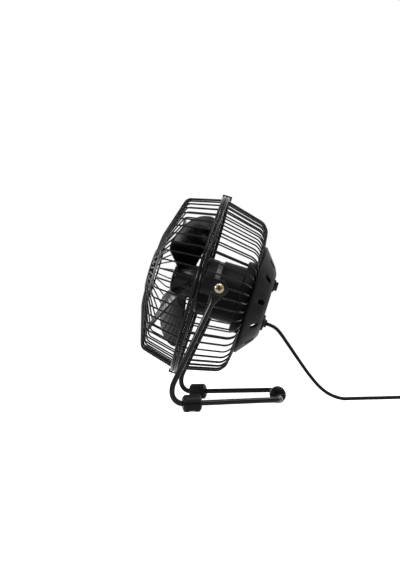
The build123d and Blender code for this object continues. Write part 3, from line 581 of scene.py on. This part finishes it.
def makeStand():
    lean = math.radians(stand["armLean"])
    arm = Vector((0, -math.sin(lean), -math.cos(lean)))
    hole = Vector((stand["rodX"], 0, stand["pivotHeight"]))
    right = [hole + arm * stand["flatStart"],
             Vector((stand["rodX"], -stand["bendForward"], stand["bendHeight"])),
             Vector((stand["rodX"], -stand["bendForward"], stand["rodZ"])),
             Vector((stand["rearHalfWidth"], stand["baseBack"], stand["rodZ"]))]
    left = [Vector((-p.x, p.y, p.z)) for p in right[::-1]]
    path = roundCorners(right + left, stand["bends"] + stand["bends"][::-1])
    neck = stand["roundStart"] - stand["flatStart"]
    steps, sides = stand["neckSteps"], stand["sides"]
    first = [path[0] + arm * (neck * k / steps) for k in range(steps)]
    last = [Vector((-p.x, p.y, p.z)) for p in first[::-1]]
    path = first + path[1:-1] + last
    count, half = len(path), stand["eyeThickness"] / 2 - stand["inset"]

    def section(i, a):
        # round rod, pressed into a flat band towards the eye
        k = min(i, count - 1 - i) / steps
        flat = 1 - min(1.0, max(0.0, k))
        flat = flat * flat * (3 - 2 * flat)
        r, wide = stand["rod"] / 2, stand["eye"] / 2 * stand["flatWidth"]
        c, s = math.cos(a), math.sin(a)
        squareC = math.copysign(abs(c) ** (1 - stand["squareness"][0] * flat), c)
        squareS = math.copysign(abs(s) ** (1 - stand["squareness"][1] * flat), s)
        return squareC * (r + (half - r) * flat), squareS * (r + (wide - r) * flat)

    bm = bmesh.new()
    ways = frameAlong(path)[0]
    rings, side = [], Vector((1, 0, 0))
    for i, point in enumerate(path):
        side = (side - ways[i] * side.dot(ways[i])).normalized()
        across = ways[i].cross(side)
        ring = [bm.verts.new(point + side * u + across * v)
                for u, v in (section(i, 2 * math.pi * k / sides) for k in range(sides))]
        rings.append(ring)
    skin(bm, rings)
    outer, inner, thick, soft = stand["eye"] / 2, stand["eyeHole"] / 2, stand["eyeThickness"] / 2, 0.5
    outline = [(inner + 0.2, -thick), (outer - soft, -thick), (outer - 0.15, -thick + 0.15), (outer, -thick + soft),
               (outer, thick - soft), (outer - 0.15, thick - 0.15), (outer - soft, thick), (inner + 0.2, thick),
               (inner, thick - 0.2), (inner, -thick + 0.2)]
    for x in (stand["rodX"], -stand["rodX"]):
        place = Matrix.Translation((x, 0, stand["pivotHeight"])) @ Matrix.Rotation(math.pi / 2, 4, "Y")
        lathe(bm, outline, 56, place)
    piece = newPiece("standRod", bm, standPlace)
    piece.data.polygons.foreach_set("use_smooth", [True] * len(piece.data.polygons))
    piece.data.set_sharp_from_angle(angle=math.radians(40))
    return dress(piece, "rodEnamel", "stand", ["stand_rod"])


makeStand()
print("stand")

# Pivot screws: domed heads with a cross recess

pivotScrew = dict(
    shank=4.0, head=8.0, height=2.4, seat=84.2, end=73.8, cross=5.4, slot=2.0, depth=1.6,
    taper=(0.36, 0.6),  # the recess's length and width at its bottom, as a share of those at its top
    turn=0.35,  # how far round each recess points, in radians
)


def makePivotScrews():
    head, height = pivotScrew["head"] / 2, pivotScrew["height"]
    length = pivotScrew["seat"] - pivotScrew["end"]
    dome = [(head * math.sin(a), height * 0.42 + (height * 0.58) * math.cos(a))
            for a in (math.pi / 2 * k / 9 for k in range(9, -1, -1))]
    outline = [(0, -length), (pivotScrew["shank"] / 2 - 0.4, -length), (pivotScrew["shank"] / 2, -length + 0.4),
               (pivotScrew["shank"] / 2, 0), (head - 0.25, 0), (head, 0.25), *dome]
    bm = bmesh.new()
    lathe(bm, outline, 48)
    screw = newPiece("pivotScrews", bm)
    bm = bmesh.new()
    for turn in (0, math.pi / 2):  # two tapered blades make the driver's shape
        top, bottom = height + 0.3, height - pivotScrew["depth"]
        corners = []
        for z, long, wide in ((top, pivotScrew["cross"], pivotScrew["slot"]),
                              (bottom, pivotScrew["cross"] * pivotScrew["taper"][0],
                               pivotScrew["slot"] * pivotScrew["taper"][1])):
            for x, y in ((-1, -1), (1, -1), (1, 1), (-1, 1)):
                p = Matrix.Rotation(turn, 3, "Z") @ Vector((x * long / 2, y * wide / 2, z))
                corners.append(bm.verts.new(p))
        bm.faces.new(corners[3::-1])
        bm.faces.new(corners[4:])
        for k in range(4):
            n = (k + 1) % 4
            bm.faces.new((corners[k], corners[n], corners[4 + n], corners[4 + k]))
    cutter = newPiece("crossCutter", bm)
    screw.data.materials.append(materials["yellowZinc"])
    # the recess faces take the darkened zinc, which is painted shade of the recess with some grease
    cutter.data.materials.append(materials["recessGreaseAndPaintedShade"])
    cut = screw.modifiers.new("cross", "BOOLEAN")
    cut.object, cut.operation, cut.solver, cut.use_self = cutter, "DIFFERENCE", "EXACT", True
    cut.material_mode = "TRANSFER"
    baked(rounded(screw, 0.12, 40, 2), 35)
    bpy.data.objects.remove(cutter)
    one = screw.data
    both = bmesh.new()
    for side in (1, -1):
        place = Matrix.Translation((side * pivotScrew["seat"] * mm, 0, pivotDepth))
        place = place @ Matrix.Rotation(side * math.pi / 2, 4, "Y")
        place = place @ Matrix.Rotation(pivotScrew["turn"] * side, 4, "Z")
        copy = one.copy()
        copy.transform(fanPlace @ place)
        both.from_mesh(copy)
        bpy.data.meshes.remove(copy)
    both.to_mesh(one)
    both.free()
    return dress(screw, "yellowZinc", "head", ["pivot_screws"], second="recessGreaseAndPaintedShade")


makePivotScrews()
print("pivot screws")

# Impeller: a round-nosed hub and twisted blades

impeller = dict(
    blades=4, firstBlade=32, hub=30.0, hubFront=-25.0, hubRear=-1.0, bore=3.0, wall=2.0,
    root=(9.0, 10.0, -25.5, -5.0),  # distance out, half width, leading and trailing edge along the axis
    tip=(62.0, 38.0, -34.5, -3.0),
    reach=60.0, edges=(-36.0, 38.0), rootEdge=30, corner=12.0, camber=0.09, thickness=1.5,
    setBack=0.8,  # from the root's and tip's edges to the middle of the sheet, along the axis
)


def bladeMesh():
    bm = bmesh.new()
    across, out, rootEdge = 26, 22, impeller["rootEdge"]
    root, tip = impeller["root"], impeller["tip"]
    inner, reach, corner = impeller["hub"] / 2 - 1.2, impeller["reach"] - 0.3, impeller["corner"]
    grid = []
    for i in range(out + 1):
        share = i / out
        r = inner + (reach - inner) * (1 - (1 - share) ** 1.35)
        over = max(0.0, r - (reach - corner))
        trim = (corner - math.sqrt(max(corner**2 - over**2, 0.0))) / r
        grow = min(1.0, (r - inner) / (reach - inner))
        low = math.radians(-rootEdge + (impeller["edges"][0] + rootEdge) * grow) + trim
        high = math.radians(rootEdge + (impeller["edges"][1] - rootEdge) * grow) - trim
        row = []
        for k in range(across + 1):
            a = low + (high - low) * k / across
            x, y = r * math.cos(a), r * math.sin(a)
            s = (x - root[0]) / (tip[0] - root[0])
            half, lead, trail = (root[j] + (tip[j] - root[j]) * s for j in (1, 2, 3))
            v = y / half
            z = lead * (1 + v) / 2 + trail * (1 - v) / 2 - impeller["camber"] * half * (1 - v * v)
            row.append(bm.verts.new((x, y, z + impeller["setBack"])))
        grid.append(row)
    for one, two in zip(grid, grid[1:]):
        for k in range(across):
            bm.faces.new((one[k], one[k + 1], two[k + 1], two[k]))
    return bm


def spinTree():
    tree = bpy.data.node_groups.new("bladesRound", "GeometryNodeTree")
    face = tree.interface
    face.new_socket("Blade", in_out="INPUT", socket_type="NodeSocketGeometry")
    face.new_socket("Blades", in_out="INPUT", socket_type="NodeSocketInt")
    face.new_socket("First Angle", in_out="INPUT", socket_type="NodeSocketFloat")
    face.new_socket("Finish", in_out="INPUT", socket_type="NodeSocketMaterial")
    face.new_socket("Impeller", in_out="OUTPUT", socket_type="NodeSocketGeometry")
    given = addNode(tree, "NodeGroupInput").outputs
    spots = addNode(tree, "GeometryNodePoints", {"Count": given["Blades"]}).outputs[0]
    index = addNode(tree, "GeometryNodeInputIndex").outputs[0]
    turn = addNode(tree, "ShaderNodeMath", {0: index, 1: given["Blades"]}, operation="DIVIDE").outputs[0]
    turn = addNode(tree, "ShaderNodeMath", {0: turn, 1: 2 * math.pi, 2: given["First Angle"]},
                   operation="MULTIPLY_ADD").outputs[0]
    turned = addNode(tree, "ShaderNodeCombineXYZ", {"Z": turn}).outputs[0]
    blades = addNode(tree, "GeometryNodeInstanceOnPoints", {"Points": spots, "Instance": given["Blade"],
                     "Rotation": turned}).outputs[0]
    real = addNode(tree, "GeometryNodeRealizeInstances", {"Geometry": blades}).outputs[0]
    painted = addNode(tree, "GeometryNodeSetMaterial", {"Geometry": real, "Material": given["Finish"]}).outputs[0]
    addNode(tree, "NodeGroupOutput", {"Impeller": painted})
    return tree


def makeImpeller():
    piece = newPiece("impeller", bladeMesh())
    wall = piece.modifiers.new("wall", "SOLIDIFY")
    wall.thickness, wall.offset, wall.use_rim = impeller["thickness"] * mm, 0.0, True
    rounded(piece, 0.5, 50)
    around = piece.modifiers.new("around", "NODES")
    around.node_group = spinTree()
    setInput(around, "Blades", impeller["blades"])
    setInput(around, "First Angle", math.radians(impeller["firstBlade"]))
    setInput(around, "Finish", materials["polishedAbs"])
    baked(piece, 40)
    front, rear, hub, bore, wallSize = (impeller[k] for k in ("hubFront", "hubRear", "hub", "bore", "wall"))
    hub, bore = hub / 2, bore / 2
    nose = [(hub * math.sin(a), front + 2.6 - 3.8 * math.cos(a)) for a in (math.pi / 2 * k / 10 for k in range(11))]
    outline = [*nose, (hub, rear - 0.4), (hub - 0.4, rear), (hub - wallSize + 0.3, rear),
               (hub - wallSize, rear - 0.3), (hub - wallSize, front + 3.4),
               (bore + 2.2, front + 2.8), (bore + 2.2, rear), (bore, rear),
               (bore, front + 2.0), (0, front + 2.0)]
    hubMesh = bmesh.new()
    lathe(hubMesh, outline, 72)
    hubPiece = newPiece("hubTurned", hubMesh)
    baked(hubPiece, 35)
    both = bmesh.new()
    both.from_mesh(piece.data)
    both.from_mesh(hubPiece.data)
    both.to_mesh(piece.data)
    both.free()
    bpy.data.objects.remove(hubPiece)
    piece.data.transform(fanPlace)
    return dress(piece, "polishedAbs", "rotor", ["impeller"])


makeImpeller()
print("impeller")

# Softened copies of moulded and pressed solids

softPieces = {
    # node: piece name, finish, body, slot, edge radius in mm, angle that counts as an edge
    "guard_badge": ("guardBadge", "satinAbs", "head", "badge_plastic", 0.5, 30),
    "guard_clip_top": ("guardClipTop", "stoveEnamel", "head", "painted_steel", 0.4, 30),
    "guard_clip_bottom": ("guardClipBottom", "stoveEnamel", "head", "painted_steel", 0.4, 30),
    "foot_front_right": ("footFrontRight", "mouldedRubber", "stand", "foot_rubber", 0.5, 28),
    "foot_front_left": ("footFrontLeft", "mouldedRubber", "stand", "foot_rubber", 0.5, 28),
    "foot_rear": ("footRear", "mouldedRubber", "stand", "foot_rubber", 0.5, 28),
    "pivot_bracket_right": ("pivotBracketRight", "stoveEnamel", "head", "painted_steel", 0.4, 30),
    "pivot_bracket_left": ("pivotBracketLeft", "stoveEnamel", "head", "painted_steel", 0.4, 30),
    "motor_front_cap": ("motorFrontCap", "texturedAbs", "head", "black_plastic", 0.5, 30),
    "motor_housing": ("motorHousing", "texturedAbs", "head", "black_plastic", 0.5, 30),
    "rear_cover": ("rearCover", "texturedAbs", "head", "black_plastic", 0.5, 14),
    "cable_gland": ("cableGland", "extrudedPvc", "head", "cable_rubber", 0.3, 25),
    "switch_housing": ("switchHousing", "satinAbs", "head", "switch_plastic", 0.35, 30),
    "switch_rocker": ("switchRocker", "polishedAbs", "rocker", "switch_plastic", 0.25, 30),
    "usb_plug_grip": ("usbPlugGrip", "extrudedPvc", "stand", "cable_rubber", 0.5, 20),
    "usb_plug_shell": ("usbPlugShell", "nickelPlate", "stand", "plated_steel", 0.12, 30),
    "coil_tie": ("coilTie", "tieRubber", "stand", "tie_rubber", 0.2, 30),
}
for node, (name, finish, body, slot, width, angle) in softPieces.items():
    dress(softened(node, name, width, angle), finish, body, [node])
print("softened pieces", len(softPieces))

# Inner pieces keep their solids and get their finishes

keptNodes = {
    "pivot_nuts": "brightZinc", "pivot_washers": "naturalNylon", "motor_can": "drawnSteel",
    "motor_bearing_front": "sinteredBronze", "motor_bearing_rear": "sinteredBronze", "motor_magnets": "ferrite",
    "armature_core": "laminations", "armature_windings": "enamelledCopper", "commutator": "turnedCopper",
    "brush_plate": "naturalNylon", "motor_brushes": "pressedCarbon", "motor_shaft": "brightZinc",
    "cover_screws": "brightZinc", "switch_terminals": "stampedBrass", "wire_leads": "leadPvc",
}
for node, finish in keptNodes.items():
    nodes[node].data.materials.clear()
    nodes[node].data.materials.append(materials[finish])
print("kept nodes", len(keptNodes))
